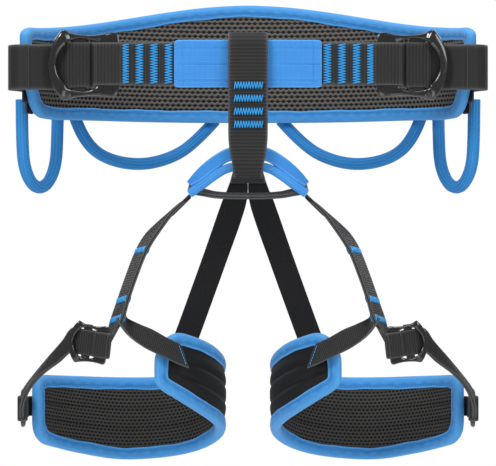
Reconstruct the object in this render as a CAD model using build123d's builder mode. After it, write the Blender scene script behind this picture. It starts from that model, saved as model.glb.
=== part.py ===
from build123d import *
from math import cos, sin, radians
import os

# Climbing harness in its worn shape, millimetres.
# The origin is the centre of the waist ring, +Z is up and the wearer faces -Y.
# "left" is the side at -X. Every paired piece is drawn at -X and mirrored for "right".

# ---------------------------------------------------------------- driving sizes
PAD_THICK = 9.0            # waist and leg pads, all layers together
LINING_THICK = 1.4         # mesh lining on the body side
SHELL_THICK = 1.2          # woven cover on the outside
BINDING_PROUD = 1.0        # edge binding beyond the pad's faces
BINDING_WIDE = 12.0        # edge binding, edge to stitch line
BINDING_STEP = 1.6         # binding beyond the layers it wraps
LAYER_GAP = 0.12           # between a pad's layers

BELT_WIDE = 44.0           # webbing around the outside of the waist pad
BELT_THICK = 2.4
BELT_OFF = PAD_THICK + 2.2     # webbing's inner face, off the pad's inner face
BELT_Z = -9.0
FRONT_WIDE = 41.5          # webbing between the two waist buckles
FRONT_THICK = 4.6          # two layers sewn together
FRONT_Z = -6.5
FRONT_ENDS = (133.0, -106.0)
FRONT_MIDDLE_Y = -113.0

SLEEVE_HALF = 71.0         # protective sleeve over the middle of the front webbing
SLEEVE_WIDE = 46.0
SLEEVE_WALL = 1.4
SLEEVE_SLACK = 0.3

LOOP_WIDE = 38.0           # belay loop
LOOP_THICK = 4.4
LOOP_TOP_Z = 12.5          # centre of its upper bight
LOOP_BOTTOM_Z = -102.0     # centre of its lower bight
LOOP_TOP_R = 6.9           # inner radii of the two bights
LOOP_BOTTOM_R = 11.0
LOOP_OVERLAY_WIDE = 25.0
LOOP_OVERLAY_THICK = 1.8
TACK_PROUD = 0.8

GEAR_TUBE_R = 6.4          # gear loop sheath
GEAR_CORE_R = 3.8
GEAR_TOP_Z = -41.0

BUCKLE_AT = (-158.5, -103.0, -7.0)
BUCKLE_TURN = 7.0          # degrees about Z, outer end swung back
SLIDER_TRAVEL = 4.0        # room for the slider to move in its webbing eye

LEG_WEB_WIDE = 25.0
LEG_WEB_THICK = 4.4        # two layers
LEG_BUCKLE_AT = (-155.0, -83.0, -276.5)
LEG_BUCKLE_SCALE = 0.60
LEG_SLIDER_TRAVEL = 2.5
RING_WIRE_R = 1.9
RISER_WIDE = 25.0
RISER_THICK = 2.2
GAP = 0.4                  # clearance between pieces on different bodies


# ---------------------------------------------------------------- helpers
def station(x, y, low, high):
    """A place on a standing band: inner face point, lower and upper edge heights."""
    return (Vector(x, y, (low + high) / 2), Vector(0, 0, 1), high - low)


def slanted(x, y, z, across, width):
    """A place on a strap whose width runs along the direction across."""
    return (Vector(x, y, z), Vector(*across).normalized(), width)


def normal_at(stations, i):
    """Unit vector off the band's inner face at station i."""
    last = len(stations) - 1
    ahead = stations[min(i + 1, last)][0] - stations[max(i - 1, 0)][0]
    return stations[i][1].cross(ahead).normalized()


def sections(stations, near, far, inset=0.0):
    """One rectangle across the band at each station, from near to far off its inner face."""
    faces = []
    for i, (place, across, width) in enumerate(stations):
        off = normal_at(stations, i)
        middle = place + off * ((near + far) / 2)
        plane = Plane(origin=middle, x_dir=off, z_dir=off.cross(across))
        with BuildSketch(plane) as section:
            Rectangle(far - near, width - 2 * inset)
        faces.append(section.sketch.face())
    return faces


def trimmed(stations, cut):
    """The same band, with both ends pulled back by cut."""
    kept = list(stations)
    for end, step in ((0, 1), (-1, -1)):
        while (kept[end + step][0] - kept[end][0]).length < cut + 1:
            kept.pop(end)
        place, across, width = kept[end]
        beside, _, wide = kept[end + step]
        share = cut / (beside - place).length
        kept[end] = (place + (beside - place) * share, across, width + (wide - width) * share)
    return kept


def widened(stations, extra):
    """The same band with every width grown by extra."""
    return [(place, across, width + extra) for place, across, width in stations]


def tube_path(points, radii):
    """Straight runs joined by tangent arcs."""
    with BuildLine() as route:
        FilletPolyline(*points, radius=radii)
    return route.line


def corner_radii(points):
    """The largest arc that each corner's two runs allow."""
    radii = []
    for before, corner, after in zip(points, points[1:], points[2:]):
        first = Vector(*corner) - Vector(*before)
        second = Vector(*after) - Vector(*corner)
        turn = radians(first.get_angle(second))
        radii.append(0.45 * min(first.length, second.length) * cos(turn / 2) / sin(turn / 2))
    return radii


def write(piece, name):
    piece.part.label = name
    export_step(piece.part, "parts/" + name + ".step")


def write_pair(piece, name):
    """Write the piece drawn at -X as NAME_left and its mirror image as NAME_right."""
    write(piece, name + "_left")
    with BuildPart() as other:
        add(piece.part)
        mirror(about=Plane.YZ, mode=Mode.REPLACE)
    write(other, name + "_right")


def write_padded(stations, name, pair):
    """The four layers of a pad: mesh lining, foam, woven cover and edge binding."""
    finish_piece = write_pair if pair else write
    inner = trimmed(stations, BINDING_STEP)
    foam_far = PAD_THICK - SHELL_THICK
    layer_inset = BINDING_STEP + LAYER_GAP
    with BuildPart() as lining:
        loft(sections(inner, LAYER_GAP, LINING_THICK, layer_inset))
    finish_piece(lining, name + "_lining")
    with BuildPart() as foam:
        loft(sections(inner, LINING_THICK + LAYER_GAP, foam_far - LAYER_GAP, layer_inset))
    finish_piece(foam, name + "_foam")
    with BuildPart() as shell:
        loft(sections(inner, foam_far, PAD_THICK - LAYER_GAP, layer_inset))
    finish_piece(shell, name + "_shell")
    with BuildPart() as binding:
        loft(sections(stations, -BINDING_PROUD, PAD_THICK + BINDING_PROUD))
        loft(sections(inner, 0, PAD_THICK, BINDING_STEP), mode=Mode.SUBTRACT)
        middle = trimmed(stations, BINDING_WIDE)
        loft(sections(middle, -3, PAD_THICK + 3, BINDING_WIDE), mode=Mode.SUBTRACT)
    finish_piece(binding, name + "_binding")
    return binding.part


# ---------------------------------------------------------------- waist pad
WAIST_HALF = [
    station(0, 95, -56, 65.5),
    station(42, 92.5, -56, 63.2),
    station(82, 81, -56, 57.2),
    station(117, 61.5, -56, 50),
    station(148, 35, -56, 43),
    station(174, 4, -56.5, 37.5),
    station(193, -28, -57, 34),
    station(204, -55, -52, 32),
    station(210, -74, -28, 31),
    station(213.5, -89, 5, 27),
]


def both_sides(half):
    """Left end, middle, right end of a band that is symmetric about the YZ plane."""
    flipped = []
    for place, across, width in half[:0:-1]:
        flipped.append((Vector(-place.X, place.Y, place.Z), across, width))
    return flipped + half


WAIST = both_sides(WAIST_HALF)
waist_binding = write_padded(WAIST, "waist_pad", pair=False)


# ---------------------------------------------------------------- waist buckles
def buckle_plane(at, turn, dip=0.0):
    """Local X along the webbing to the middle, local Y up the buckle, Z out of its face."""
    along = Vector(cos(radians(turn)) * cos(radians(dip)), -sin(radians(turn)), -sin(radians(dip)))
    out = Vector(0, 0, 1).cross(along).normalized() * -1
    return Plane(origin=at, x_dir=along, z_dir=out)


def buckle_frame(plane, scale):
    """One-piece ring with a bulged outer bar and a flat inner bar for the sewn webbing."""
    with BuildPart() as frame:
        with BuildSketch() as outline:
            with BuildLine():
                ThreePointArc((-20, -34.5), (-34.8, 0), (-20, 34.5))
                ThreePointArc((-20, 34.5), (6, 28.6), (28, 31.5))
                ThreePointArc((28, 31.5), (32.6, 29.5), (34, 24.5))
                Line((34, 24.5), (34, -24.5))
                ThreePointArc((34, -24.5), (32.6, -29.5), (28, -31.5))
                ThreePointArc((28, -31.5), (6, -31), (-20, -34.5))
            make_face()
        extrude(amount=2.6, both=True)
        with BuildSketch(Plane.XY.offset(2.6)):
            with BuildLine():
                ThreePointArc((-20, -34.5), (-34.8, 0), (-20, 34.5))
                Line((-20, 34.5), (-17, 30))
                Line((-17, 30), (-17, -30))
                Line((-17, -30), (-20, -34.5))
            make_face()
        extrude(amount=3.4, taper=22)
        with BuildSketch(Plane.XY.offset(-10)):
            with Locations((-2, 0)):
                RectangleRounded(29.4, 46.4, 3)
        extrude(amount=20, mode=Mode.SUBTRACT)
        for low in (1.7, -5.0):
            with BuildSketch(Plane.XY.offset(low)):
                with Locations((26, 0)):
                    Rectangle(28, 46.4)
            extrude(amount=3.3, mode=Mode.SUBTRACT)
        with BuildSketch(Plane.XY.offset(-5)):
            with Locations((-28, 0)):
                Rectangle(24, 46.4)
        extrude(amount=4, mode=Mode.SUBTRACT)
    return plane.location * frame.part.scale(scale)


def buckle_slider(plane, scale):
    """Flat locking bar behind the frame's rails, with the webbing folded around it."""
    with BuildPart() as slider:
        with BuildSketch(Plane.XZ) as section:
            with Locations((-6.3, -5.8)):
                SlotOverall(15.4, 3.6)
        extrude(amount=29.5, both=True)
    return plane.location * slider.part.scale(scale)


def webbing_eye(plane, scale, width, travel):
    """The fold of a strap around the slider, open by the slider's travel."""
    with BuildPart() as eye:
        with BuildSketch(Plane.XZ) as fold:
            with Locations((-8.5 + travel / 2, -5.8)):
                SlotOverall(24.2 + travel, 9.0)
            with Locations((-6.3 + travel / 2, -5.8)):
                SlotOverall(16.4 + travel, 4.6, mode=Mode.SUBTRACT)
        extrude(amount=width / scale / 2, both=True)
    return plane.location * eye.part.scale(scale)


BUCKLE = buckle_plane(BUCKLE_AT, BUCKLE_TURN)
with BuildPart() as waist_frame:
    add(buckle_frame(BUCKLE, 1.0))
write_pair(waist_frame, "waist_buckle_frame")
with BuildPart() as waist_slider:
    add(buckle_slider(BUCKLE, 1.0))
write_pair(waist_slider, "waist_buckle_slider")


# ---------------------------------------------------------------- waist webbing
def off_pad(half, off, low, high):
    """The half band again, off from its inner face, with other edge heights."""
    moved = []
    for i, (place, _, _) in enumerate(half):
        point = place + normal_at(half, i) * off
        moved.append(station(point.X, point.Y, low, high))
    return moved


BELT_LOW = BELT_Z - BELT_WIDE / 2
BELT_HIGH = BELT_Z + BELT_WIDE / 2
BELT_DOUBLE = BELT_THICK + 2.4
TAIL_FROM = 6              # station of the waist band where the tucked tail ends
belt_half = off_pad(WAIST_HALF[:9], BELT_OFF, BELT_LOW, BELT_HIGH)
belt_front = [
    station(226.5, -84, BELT_LOW, BELT_HIGH),
    station(224.5, -90, BELT_LOW, BELT_HIGH),
    station(219, -94.6, BELT_LOW, BELT_HIGH),
    station(211, -95.6, BELT_LOW, BELT_HIGH),
    station(201, -93.4, BELT_LOW, BELT_HIGH),
    station(190, -91.4, BELT_LOW, BELT_HIGH),
    station(175, -92.6, BELT_LOW, BELT_HIGH),
]
belt_fold = mirror(webbing_eye(BUCKLE, 1.0, BELT_WIDE, SLIDER_TRAVEL), about=Plane.YZ)
with BuildPart() as belt_end:
    loft(sections(belt_half[TAIL_FROM:] + belt_front, 0, BELT_DOUBLE), ruled=True)
    add(belt_fold)
with BuildPart() as waist_webbing:
    loft(sections(both_sides(belt_half), 0, BELT_THICK))
    add(belt_end.part)
    add(mirror(belt_end.part, about=Plane.YZ, mode=Mode.PRIVATE))
write(waist_webbing, "waist_webbing")

# a webbing patch reinforces the pad's end under the belt, and a sewn loop holds the tail
with BuildPart() as end_patch:
    patch = off_pad(WAIST_HALF[7:9], PAD_THICK, -32, 26)
    loft(sections(patch, BINDING_PROUD + 0.3, BINDING_PROUD + 1.15))
    mirror(about=Plane.YZ)
write(end_patch, "pad_end_patches")

KEEPER_LOW = BELT_LOW - 2.6
KEEPER_HIGH = BELT_HIGH + 2.6
with BuildPart() as keeper:
    seat = off_pad(WAIST_HALF[:9], PAD_THICK + 0.4, KEEPER_LOW, KEEPER_HIGH)[6:8]
    spot = seat[0][0] + (seat[1][0] - seat[0][0]) * 0.75
    around = [(seat[0][0], seat[0][1], seat[0][2]), (spot, seat[0][1], seat[0][2])]
    loft(sections(around, 0, BELT_DOUBLE + 5.0))
    loft(sections(around, 1.6, BELT_DOUBLE + 3.4, 1.8), mode=Mode.SUBTRACT)
    mirror(about=Plane.YZ, mode=Mode.REPLACE)
write_pair(keeper, "tail_keeper")


# ---------------------------------------------------------------- front webbing and sleeve
def front_half(low, high):
    """The front webbing's middle plane from the centre to the buckle at +X."""
    end_x, end_y = FRONT_ENDS
    return [
        station(0, FRONT_MIDDLE_Y, low, high),
        station(40, FRONT_MIDDLE_Y + 0.7, low, high),
        station(SLEEVE_HALF, FRONT_MIDDLE_Y + 2.2, low, high),
        station(100, FRONT_MIDDLE_Y + 4.2, low, high),
        station(end_x - 8, end_y - 1, low, high),
    ]


FRONT_HALF = front_half(FRONT_Z - FRONT_WIDE / 2, FRONT_Z + FRONT_WIDE / 2)


def bar_slot(plane, scale, middle, length, height, width):
    """A slot across a buckle's inner bar: the fold of a sewn strap, or its cavity."""
    with BuildPart() as slot:
        with BuildSketch(Plane.XZ):
            with Locations((middle, 0)):
                SlotOverall(length, height)
        extrude(amount=width / scale / 2, both=True)
    return plane.location * slot.part.scale(scale)


BAR_FOLD = (24, 31, 8.6)       # middle, length and height of the fold at waist size
BAR_CAVITY = (23.3, 26, 4.2)


with BuildPart() as front_webbing:
    left_half = [(Vector(-p.X, p.Y, p.Z), across, width) for p, across, width in FRONT_HALF[::-1]]
    loft(sections(left_half, -FRONT_THICK / 2, FRONT_THICK / 2))
    fold_plane = buckle_plane(BUCKLE_AT[:2] + (FRONT_Z,), BUCKLE_TURN)
    add(bar_slot(fold_plane, 1.0, *BAR_FOLD, FRONT_WIDE))
    add(bar_slot(fold_plane, 1.0, *BAR_CAVITY, FRONT_WIDE + 2), mode=Mode.SUBTRACT)
    mirror(about=Plane.YZ)
write(front_webbing, "front_webbing")

sleeve_low = FRONT_Z - SLEEVE_WIDE / 2
sleeve_half = front_half(sleeve_low, sleeve_low + SLEEVE_WIDE)[:3]
sleeve_far = FRONT_THICK / 2 + SLEEVE_SLACK + SLEEVE_WALL
with BuildPart() as sleeve:
    loft(sections(both_sides(sleeve_half), -sleeve_far, sleeve_far))
    inside = widened(both_sides(front_half(sleeve_low, sleeve_low + SLEEVE_WIDE)[:4]), -2 * SLEEVE_WALL)
    cavity = FRONT_THICK / 2 + SLEEVE_SLACK
    loft(sections(inside, -cavity, cavity), mode=Mode.SUBTRACT)
write(sleeve, "tie_in_sleeve")

TACK_X = (76.5, 90.5, 104.5, 118.5)    # bar-tacks that close the front webbing's layers
TACK_WIDE = 7.0
with BuildPart() as front_tacks:
    for tack_x in TACK_X:
        with BuildSketch(Plane.XZ.offset(-(FRONT_MIDDLE_Y + 0.0004 * tack_x ** 2 - FRONT_THICK / 2 - 0.3))):
            with Locations((tack_x, FRONT_Z)):
                Rectangle(TACK_WIDE, FRONT_WIDE - 5)
        extrude(amount=TACK_PROUD)
    mirror(about=Plane.YZ)
    add(front_webbing.part, mode=Mode.SUBTRACT)
write(front_tacks, "front_bartacks")


# ---------------------------------------------------------------- belay loop
def loop_side(grow):
    """The belay loop from the side: two bights of unequal size and two straight runs."""
    with BuildSketch(Plane.YZ) as side:
        with Locations((FRONT_MIDDLE_Y, LOOP_TOP_Z)):
            Circle(LOOP_TOP_R + grow)
        with Locations((FRONT_MIDDLE_Y, LOOP_BOTTOM_Z)):
            Circle(LOOP_BOTTOM_R + grow)
        make_hull()
    return side.sketch


with BuildPart() as belay_loop:
    extrude(loop_side(LOOP_THICK), amount=LOOP_WIDE / 2, both=True)
    extrude(loop_side(0), amount=LOOP_WIDE / 2, both=True, mode=Mode.SUBTRACT)
write(belay_loop, "belay_loop")

OVERLAY_LOW = LOOP_BOTTOM_Z + 18
with BuildPart() as overlay:
    extrude(loop_side(LOOP_THICK + LOOP_OVERLAY_THICK), amount=LOOP_OVERLAY_WIDE / 2, both=True)
    extrude(loop_side(LOOP_THICK), amount=LOOP_OVERLAY_WIDE / 2, both=True, mode=Mode.SUBTRACT)
    split(bisect_by=Plane.XY.offset(OVERLAY_LOW), keep=Keep.TOP)
    split(bisect_by=Plane.XZ.offset(-FRONT_MIDDLE_Y), keep=Keep.TOP)
write(overlay, "belay_loop_overlay")

LOOP_TACK_Z = (-28, -40.5, -53, -65.5)
with BuildPart() as loop_tacks:
    extrude(loop_side(LOOP_THICK + LOOP_OVERLAY_THICK + TACK_PROUD), amount=LOOP_OVERLAY_WIDE / 2, both=True)
    hidden = loop_side(LOOP_THICK + LOOP_OVERLAY_THICK)
    extrude(hidden, amount=LOOP_OVERLAY_WIDE / 2, both=True, mode=Mode.SUBTRACT)
    split(bisect_by=Plane.XZ.offset(-FRONT_MIDDLE_Y + 2), keep=Keep.TOP)
    with BuildSketch(Plane.XZ.offset(-FRONT_MIDDLE_Y)):
        for tack_z in LOOP_TACK_Z:
            with Locations((0, tack_z)):
                Rectangle(LOOP_OVERLAY_WIDE, 6.2)
    extrude(amount=40, mode=Mode.INTERSECT)
write(loop_tacks, "belay_loop_bartacks")


# ---------------------------------------------------------------- gear loops
# each end of a gear loop hangs outside a webbing tab sewn to the pad's cover under the belt:
# (station of the waist pad, share of the way to the next station)
FRONT_GEAR_ENDS = ((7, 0.0), (5, 0.05))
REAR_GEAR_ENDS = ((4, 0.5), (0, 0.75))
# the hanging curve: share of the way from end to end, and drop
FRONT_GEAR_CURVE = [(0, 0), (0.005, -38), (0.07, -66), (0.34, -84), (0.69, -82), (0.94, -62), (0.99, -34), (1, -4)]
REAR_GEAR_CURVE = [(0, -8), (0.05, -30), (0.19, -52), (0.45, -60), (0.7, -51), (0.87, -33), (1, -12)]
TAB_NEAR = BINDING_PROUD + 0.6
TAB_FAR = TAB_NEAR + 1.8
TAB_WIDE = 14.0


def along_pad(off, spot):
    """A point off the +X half of the waist pad's cover, and the direction of the pad there."""
    ring = off_pad(WAIST_HALF, PAD_THICK + off, -52, -33)
    first, share = spot
    step = ring[first + 1][0] - ring[first][0]
    return ring[first][0] + step * share, step.normalized()


def gear_route(ends, curve):
    """Points of a hanging loop in the upright plane through its two ends, at -X."""
    start, finish = (along_pad(TAB_FAR + GAP + 0.6 + GEAR_TUBE_R, spot)[0] for spot in ends)
    route = []
    for share, drop in curve:
        foot = start + (finish - start) * share
        route.append((-foot.X, foot.Y, GEAR_TOP_Z + drop))
    return route


def round_bar(route, outer, inner):
    """A round bar or tube of the given radii along the route."""
    path = tube_path(route, corner_radii(route))
    with BuildPart() as tube:
        with BuildSketch(Plane(origin=path @ 0, z_dir=path % 0)):
            Circle(outer)
            if inner:
                Circle(inner, mode=Mode.SUBTRACT)
        sweep(path=path)
    return tube


for gear_name, gear_ends, gear_curve in (
    ("gear_loop_front", FRONT_GEAR_ENDS, FRONT_GEAR_CURVE),
    ("gear_loop_rear", REAR_GEAR_ENDS, REAR_GEAR_CURVE),
):
    gear_points = gear_route(gear_ends, gear_curve)
    print(gear_name, "hinge through", gear_points[0], gear_points[-1])
    write_pair(round_bar(gear_points, GEAR_TUBE_R, GEAR_CORE_R + 0.1), gear_name + "_sheath")
    write_pair(round_bar(gear_points, GEAR_CORE_R, 0), gear_name + "_core")

with BuildPart() as gear_tabs:
    for spot in FRONT_GEAR_ENDS + REAR_GEAR_ENDS:
        middle, ahead = along_pad(0, spot)
        ends = (middle - ahead * (TAB_WIDE / 2), middle + ahead * (TAB_WIDE / 2))
        loft(sections([(end, Vector(0, 0, 1), 19) for end in ends], TAB_NEAR, TAB_FAR))
    mirror(about=Plane.YZ)
    add(waist_binding, mode=Mode.SUBTRACT)
write(gear_tabs, "gear_loop_tabs")


# ---------------------------------------------------------------- tie-in bridge
BRIDGE_WIDE = 11.5
BRIDGE_HALF = [
    slanted(0, -113, -93.5, (0, 0, 1), BRIDGE_WIDE),
    slanted(18, -113, -94.5, (0, 0, 1), BRIDGE_WIDE),
    slanted(32, -110, -102, (0.1, 0.25, 1), BRIDGE_WIDE),
    slanted(46, -103.5, -113, (0.3, 0.6, 0.8), BRIDGE_WIDE),
    slanted(56, -96, -121.5, (0.4, 0.8, 0.6), BRIDGE_WIDE),
]
BRIDGE = []
for place, across, width in BRIDGE_HALF[:0:-1]:
    BRIDGE.append((Vector(-place.X, place.Y, place.Z), Vector(-across.X, across.Y, across.Z), width))
BRIDGE += BRIDGE_HALF
with BuildPart() as bridge:
    loft(sections(BRIDGE, -1.8, 1.8, 1.4))
write(bridge, "tie_in_bridge")
with BuildPart() as bridge_sleeve:
    loft(sections(BRIDGE, -3.2, 3.2))
    loft(sections(BRIDGE, -1.8, 1.8, 1.4), mode=Mode.SUBTRACT)
write(bridge_sleeve, "bridge_sleeve")

PIPING_R = 4.4
PIPING = [(-55, -99, -133), (-44, -106, -125), (-33, -110.8, -115.5), (-19, -113.2, -106.5), (0, -113.4, -105),
          (19, -113.2, -106.5), (33, -110.8, -115.5), (44, -106, -125), (55, -99, -133)]
with BuildPart() as piping:
    add(round_bar(PIPING, PIPING_R, 0).part)
    add(bridge_sleeve.part, mode=Mode.SUBTRACT)
write(piping, "bridge_piping")

CROSS_HALF = 46.0
CROSS_LOW = -136.5
CROSS_Y = -90.0
with BuildPart() as cross_strap:
    with BuildSketch(Plane.XY.offset(CROSS_LOW)):
        with Locations((0, CROSS_Y)):
            Rectangle(2 * CROSS_HALF, LEG_WEB_WIDE)
    extrude(amount=LEG_WEB_THICK)
write(cross_strap, "cross_strap")


# ---------------------------------------------------------------- rear risers
RISER_TOP_Y = 106.4
with BuildPart() as anchor:
    with BuildSketch(Plane.XZ.offset(-RISER_TOP_Y)):
        with BuildLine():
            Polyline((-13, -31.2), (13, -31.2), (13, -92), (20, -118), (-20, -118), (-13, -92), close=True)
        make_face()
    extrude(amount=-RISER_THICK)
write(anchor, "riser_anchor")

RISER = [
    slanted(-7.5, 109, -106, (1, 0, 0), 12),
    slanted(-10.5, 109, -124, (1, 0.02, -0.15), 20),
    slanted(-15.5, 108.8, -142, (1, 0.03, -0.33), RISER_WIDE),
    slanted(-35, 105, -198, (1, 0.04, -0.34), RISER_WIDE),
    slanted(-58, 97, -262, (1, 0.08, -0.34), RISER_WIDE),
    slanted(-76, 87, -312, (1, 0.14, -0.34), RISER_WIDE),
    slanted(-86, 86, -345, (1, 0.1, -0.25), RISER_WIDE),
]
with BuildPart() as riser:
    loft(sections(RISER, 0, RISER_THICK))
write_pair(riser, "riser")


# ---------------------------------------------------------------- leg loops
LEG_PAD = [
    station(-208, -10, -364, -318),
    station(-204, 0, -378, -312),
    station(-190, 22, -386, -313),
    station(-165, 45, -394, -315),
    station(-130, 64, -401, -317),
    station(-90, 72, -400, -317),
    station(-58, 60, -393, -312),
    station(-38, 35, -381, -303),
    station(-32, 4, -368, -294),
    station(-39, -26, -357, -282),
    station(-55, -54, -344, -272),
    station(-75, -71, -330, -267),
    station(-88, -76.5, -321, -280),
    station(-93, -78, -314, -292),
]
write_padded(LEG_PAD, "leg_pad", pair=True)

LEG_WEBBING = [
    slanted(-65.5, -94, -143, (0.72, -0.1, 0.7), LEG_WEB_WIDE),
    slanted(-79, -94.5, -154, (0.72, -0.5, 0.6), LEG_WEB_WIDE),
    slanted(-92, -94, -169, (0.62, -0.75, 0.3), LEG_WEB_WIDE),
    slanted(-103, -93.5, -187, (0.45, -0.9, 0.1), LEG_WEB_WIDE),
    slanted(-113, -92.5, -212, (0.42, -0.9, 0.1), LEG_WEB_WIDE),
    slanted(-121, -91, -235, (0.45, -0.9, 0.15), LEG_WEB_WIDE),
    slanted(-127, -89.5, -254, (0.5, -0.85, 0.2), LEG_WEB_WIDE),
    slanted(-132, -91, -270, (0.4, -0.6, 0.7), LEG_WEB_WIDE),
]
LEG_BUCKLE = buckle_plane(LEG_BUCKLE_AT, 24, 7)
with BuildPart() as leg_webbing:
    loft(sections(LEG_WEBBING, -LEG_WEB_THICK / 2, LEG_WEB_THICK / 2))
    add(bar_slot(LEG_BUCKLE, LEG_BUCKLE_SCALE, *BAR_FOLD, LEG_WEB_WIDE))
    add(bar_slot(LEG_BUCKLE, LEG_BUCKLE_SCALE, *BAR_CAVITY, LEG_WEB_WIDE + 2), mode=Mode.SUBTRACT)
write_pair(leg_webbing, "leg_webbing")

INNER_STRAP = [
    slanted(-117, -92, -262, (-0.1, 0.75, 0.66), LEG_WEB_WIDE),
    slanted(-103, -93.5, -269, (-0.2, 0.35, 0.9), LEG_WEB_WIDE),
    slanted(-88, -92.5, -276, (-0.3, 0.1, 0.95), 27),
    slanted(-74, -89.5, -283.5, (-0.35, 0.05, 0.95), 27),
    slanted(-63, -84, -289, (-0.35, 0.05, 0.95), 26),
]
with BuildPart() as inner_strap:
    loft(sections(INNER_STRAP, -1.5, 1.5))
write_pair(inner_strap, "inner_strap")

with BuildPart() as leg_frame:
    add(buckle_frame(LEG_BUCKLE, LEG_BUCKLE_SCALE))
write_pair(leg_frame, "leg_buckle_frame")
with BuildPart() as leg_slider:
    add(buckle_slider(LEG_BUCKLE, LEG_BUCKLE_SCALE))
write_pair(leg_slider, "leg_buckle_slider")

# the adjustable strap folds around the slider, runs down the outside of the thigh and round the ring
RING_AT = (-223, -24, -343)
RING_LONG = 34.0
RING_DEEP = 17.0


def behind_bar(reach):
    """A place on the adjustable strap under the leg buckle's outer bar, reach from its middle."""
    spot = LEG_BUCKLE.from_local_coords(Vector(-reach * LEG_BUCKLE_SCALE, 0, -5.8 * LEG_BUCKLE_SCALE))
    return slanted(spot.X, spot.Y, spot.Z, tuple(LEG_BUCKLE.y_dir), LEG_WEB_WIDE)


ADJUST = [
    behind_bar(18.5),
    behind_bar(34),
    slanted(-183, -64, -285, (0.3, 0.1, 1), LEG_WEB_WIDE),
    slanted(-199, -59, -300, (0.5, 0.25, 0.85), LEG_WEB_WIDE),
    slanted(-212, -52, -316, (0.45, 0.35, 0.85), LEG_WEB_WIDE),
    slanted(-220.5, -45, -331, (0.2, 0.4, 0.9), LEG_WEB_WIDE),
    slanted(-223, -37.5, -340, (0.02, 0.2, 0.97), LEG_WEB_WIDE),
]


def ring_loop(start_y, length, low, high):
    """A webbing fold around an upright side of the ring: open slot, seen from above."""
    with BuildPart() as fold:
        with BuildSketch(Plane.XY.offset(low)):
            with Locations((RING_AT[0], start_y)):
                SlotOverall(length, 9.0, rotation=90)
                SlotOverall(length - 3.4, 5.6, rotation=90, mode=Mode.SUBTRACT)
        extrude(amount=high - low)
    return fold.part


with BuildPart() as adjust_strap:
    loft(sections(ADJUST, -LEG_WEB_THICK / 2, LEG_WEB_THICK / 2))
    add(webbing_eye(LEG_BUCKLE, LEG_BUCKLE_SCALE, LEG_WEB_WIDE, LEG_SLIDER_TRAVEL / LEG_BUCKLE_SCALE))
    ring_low = RING_AT[2] - LEG_WEB_WIDE / 2
    add(ring_loop(RING_AT[1] - RING_DEEP / 2, 14, ring_low, ring_low + LEG_WEB_WIDE))
write_pair(adjust_strap, "adjust_strap")

with BuildPart() as ring:
    with BuildSketch(Plane.YZ.offset(RING_AT[0])):
        with Locations(RING_AT[1:]):
            RectangleRounded(RING_DEEP + 2 * RING_WIRE_R, RING_LONG + 2 * RING_WIRE_R, 6)
            RectangleRounded(RING_DEEP - 2 * RING_WIRE_R, RING_LONG - 2 * RING_WIRE_R, 2.5, mode=Mode.SUBTRACT)
    extrude(amount=RING_WIRE_R, both=True)
    fillet(ring.edges().filter_by(Axis.X, reverse=True), radius=RING_WIRE_R * 0.8)
write_pair(ring, "leg_ring")

with BuildPart() as ring_tab:
    tab_low = RING_AT[2] - 10
    add(ring_loop(RING_AT[1] + RING_DEEP / 2 + 1, 12, tab_low, tab_low + 20))
    tab_run = [
        station(-224.5, -9.5, tab_low, tab_low + 20),
        station(-222, 2, tab_low, tab_low + 20),
        station(-212, 17, tab_low, tab_low + 20),
    ]
    loft(sections(tab_run, -1.5, 1.5))
write_pair(ring_tab, "leg_ring_tab")

LEG_TACK_AT = (2, 4, 5)    # stations of the leg webbing that carry a bar-tack
LEG_TACK_LONG = 5.0
with BuildPart() as leg_tacks:
    for tack_at in LEG_TACK_AT:
        place, across, width = LEG_WEBBING[tack_at]
        before = LEG_WEBBING[tack_at - 1][0]
        along = (before - place).normalized() * LEG_TACK_LONG
        short = [(place + along, across, width - 3), (place, across, width - 3)]
        for side in (-1, 1):
            near = side * LEG_WEB_THICK / 2
            far = near + side * TACK_PROUD
            loft(sections(short, min(near, far), max(near, far)))
    add(leg_webbing.part, mode=Mode.SUBTRACT)
write_pair(leg_tacks, "leg_bartacks")
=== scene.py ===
import math

import bmesh
import bpy
import numpy as np
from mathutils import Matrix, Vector


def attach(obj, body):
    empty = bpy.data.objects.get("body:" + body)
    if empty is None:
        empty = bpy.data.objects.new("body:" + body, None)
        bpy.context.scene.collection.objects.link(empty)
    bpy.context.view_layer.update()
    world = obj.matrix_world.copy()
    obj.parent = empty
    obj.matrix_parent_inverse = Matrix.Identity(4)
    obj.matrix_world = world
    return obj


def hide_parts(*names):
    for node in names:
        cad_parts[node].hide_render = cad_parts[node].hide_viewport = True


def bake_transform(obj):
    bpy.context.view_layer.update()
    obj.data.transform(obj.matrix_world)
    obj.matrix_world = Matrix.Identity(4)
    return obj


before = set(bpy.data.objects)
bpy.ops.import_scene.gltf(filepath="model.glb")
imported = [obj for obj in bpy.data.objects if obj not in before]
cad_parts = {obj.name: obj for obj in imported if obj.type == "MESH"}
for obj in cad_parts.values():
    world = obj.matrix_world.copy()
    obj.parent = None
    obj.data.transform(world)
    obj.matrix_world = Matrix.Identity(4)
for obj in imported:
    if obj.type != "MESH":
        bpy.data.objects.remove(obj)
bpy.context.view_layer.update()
MM = 0.001                     # stations and routes below are in millimetres, as the CAD has them

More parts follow.
